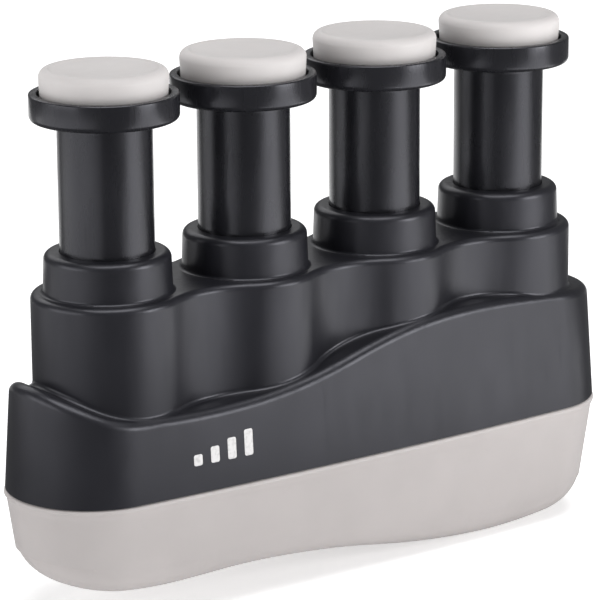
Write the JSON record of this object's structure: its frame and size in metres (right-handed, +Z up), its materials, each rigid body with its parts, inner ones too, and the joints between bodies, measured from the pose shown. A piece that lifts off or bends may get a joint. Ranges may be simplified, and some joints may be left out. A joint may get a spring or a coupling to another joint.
{
  "type": "finger exerciser",
  "caption": "Hand-held finger exerciser: a row of separately sprung finger plungers with soft dished pads in a black lobed housing over a light grey rounded palm base.",
  "frame": {"origin": "under the middle of the palm base, level with its lowest point, half way between the second and third plungers", "axes": "+X along the row of plungers from the first to the fourth, -Y the front face, +Z up along the plungers"},
  "size_m": [0.0824, 0.0218, 0.0634],
  "materials": {
    "housing_black": "fine satin moulded ABS, black",
    "plunger_black": "satin moulded acetal, black, glossier on the cup's edge",
    "ring_natural": "natural white moulded nylon",
    "pad_grey": "soft light grey elastomer, very fine matt grain",
    "spring_steel": "bright drawn spring wire",
    "plate_grey": "dark grey glass-filled nylon",
    "screw_steel": "zinc-plated steel",
    "core_grey": "grey moulded ABS",
    "grip_grey": "soft light grey elastomer skin, satin"
  },
  "bodies": {
    "housing": {"upper_housing": "housing_black", "spring_plate": "plate_grey", "plate_screws": "screw_steel", "palm_core": "core_grey", "palm_grip": "grip_grey", "spring_1": "spring_steel", "spring_2": "spring_steel", "spring_3": "spring_steel", "spring_4": "spring_steel"},
    "plunger_body_1": {"plunger_1": "plunger_black", "finger_pad_1": "pad_grey", "retaining_ring_1": "ring_natural"},
    "plunger_body_2": {"plunger_2": "plunger_black", "finger_pad_2": "pad_grey", "retaining_ring_2": "ring_natural"},
    "plunger_body_3": {"plunger_3": "plunger_black", "finger_pad_3": "pad_grey", "retaining_ring_3": "ring_natural"},
    "plunger_body_4": {"plunger_4": "plunger_black", "finger_pad_4": "pad_grey", "retaining_ring_4": "ring_natural"}
  },
  "joints": [
    {"name": "press_1", "type": "slide", "parent": "housing", "child": "plunger_body_1", "axis": [0, 0, -1], "range_m": [0, 0.0125], "stiffness_N_per_m": 1750, "deforming": ["spring_1"]},
    {"name": "press_2", "type": "slide", "parent": "housing", "child": "plunger_body_2", "axis": [0, 0, -1], "range_m": [0, 0.0125], "stiffness_N_per_m": 1750, "deforming": ["spring_2"]},
    {"name": "press_3", "type": "slide", "parent": "housing", "child": "plunger_body_3", "axis": [0, 0, -1], "range_m": [0, 0.0125], "stiffness_N_per_m": 1750, "deforming": ["spring_3"]},
    {"name": "press_4", "type": "slide", "parent": "housing", "child": "plunger_body_4", "axis": [0, 0, -1], "range_m": [0, 0.0125], "stiffness_N_per_m": 1750, "deforming": ["spring_4"]}
  ]
}
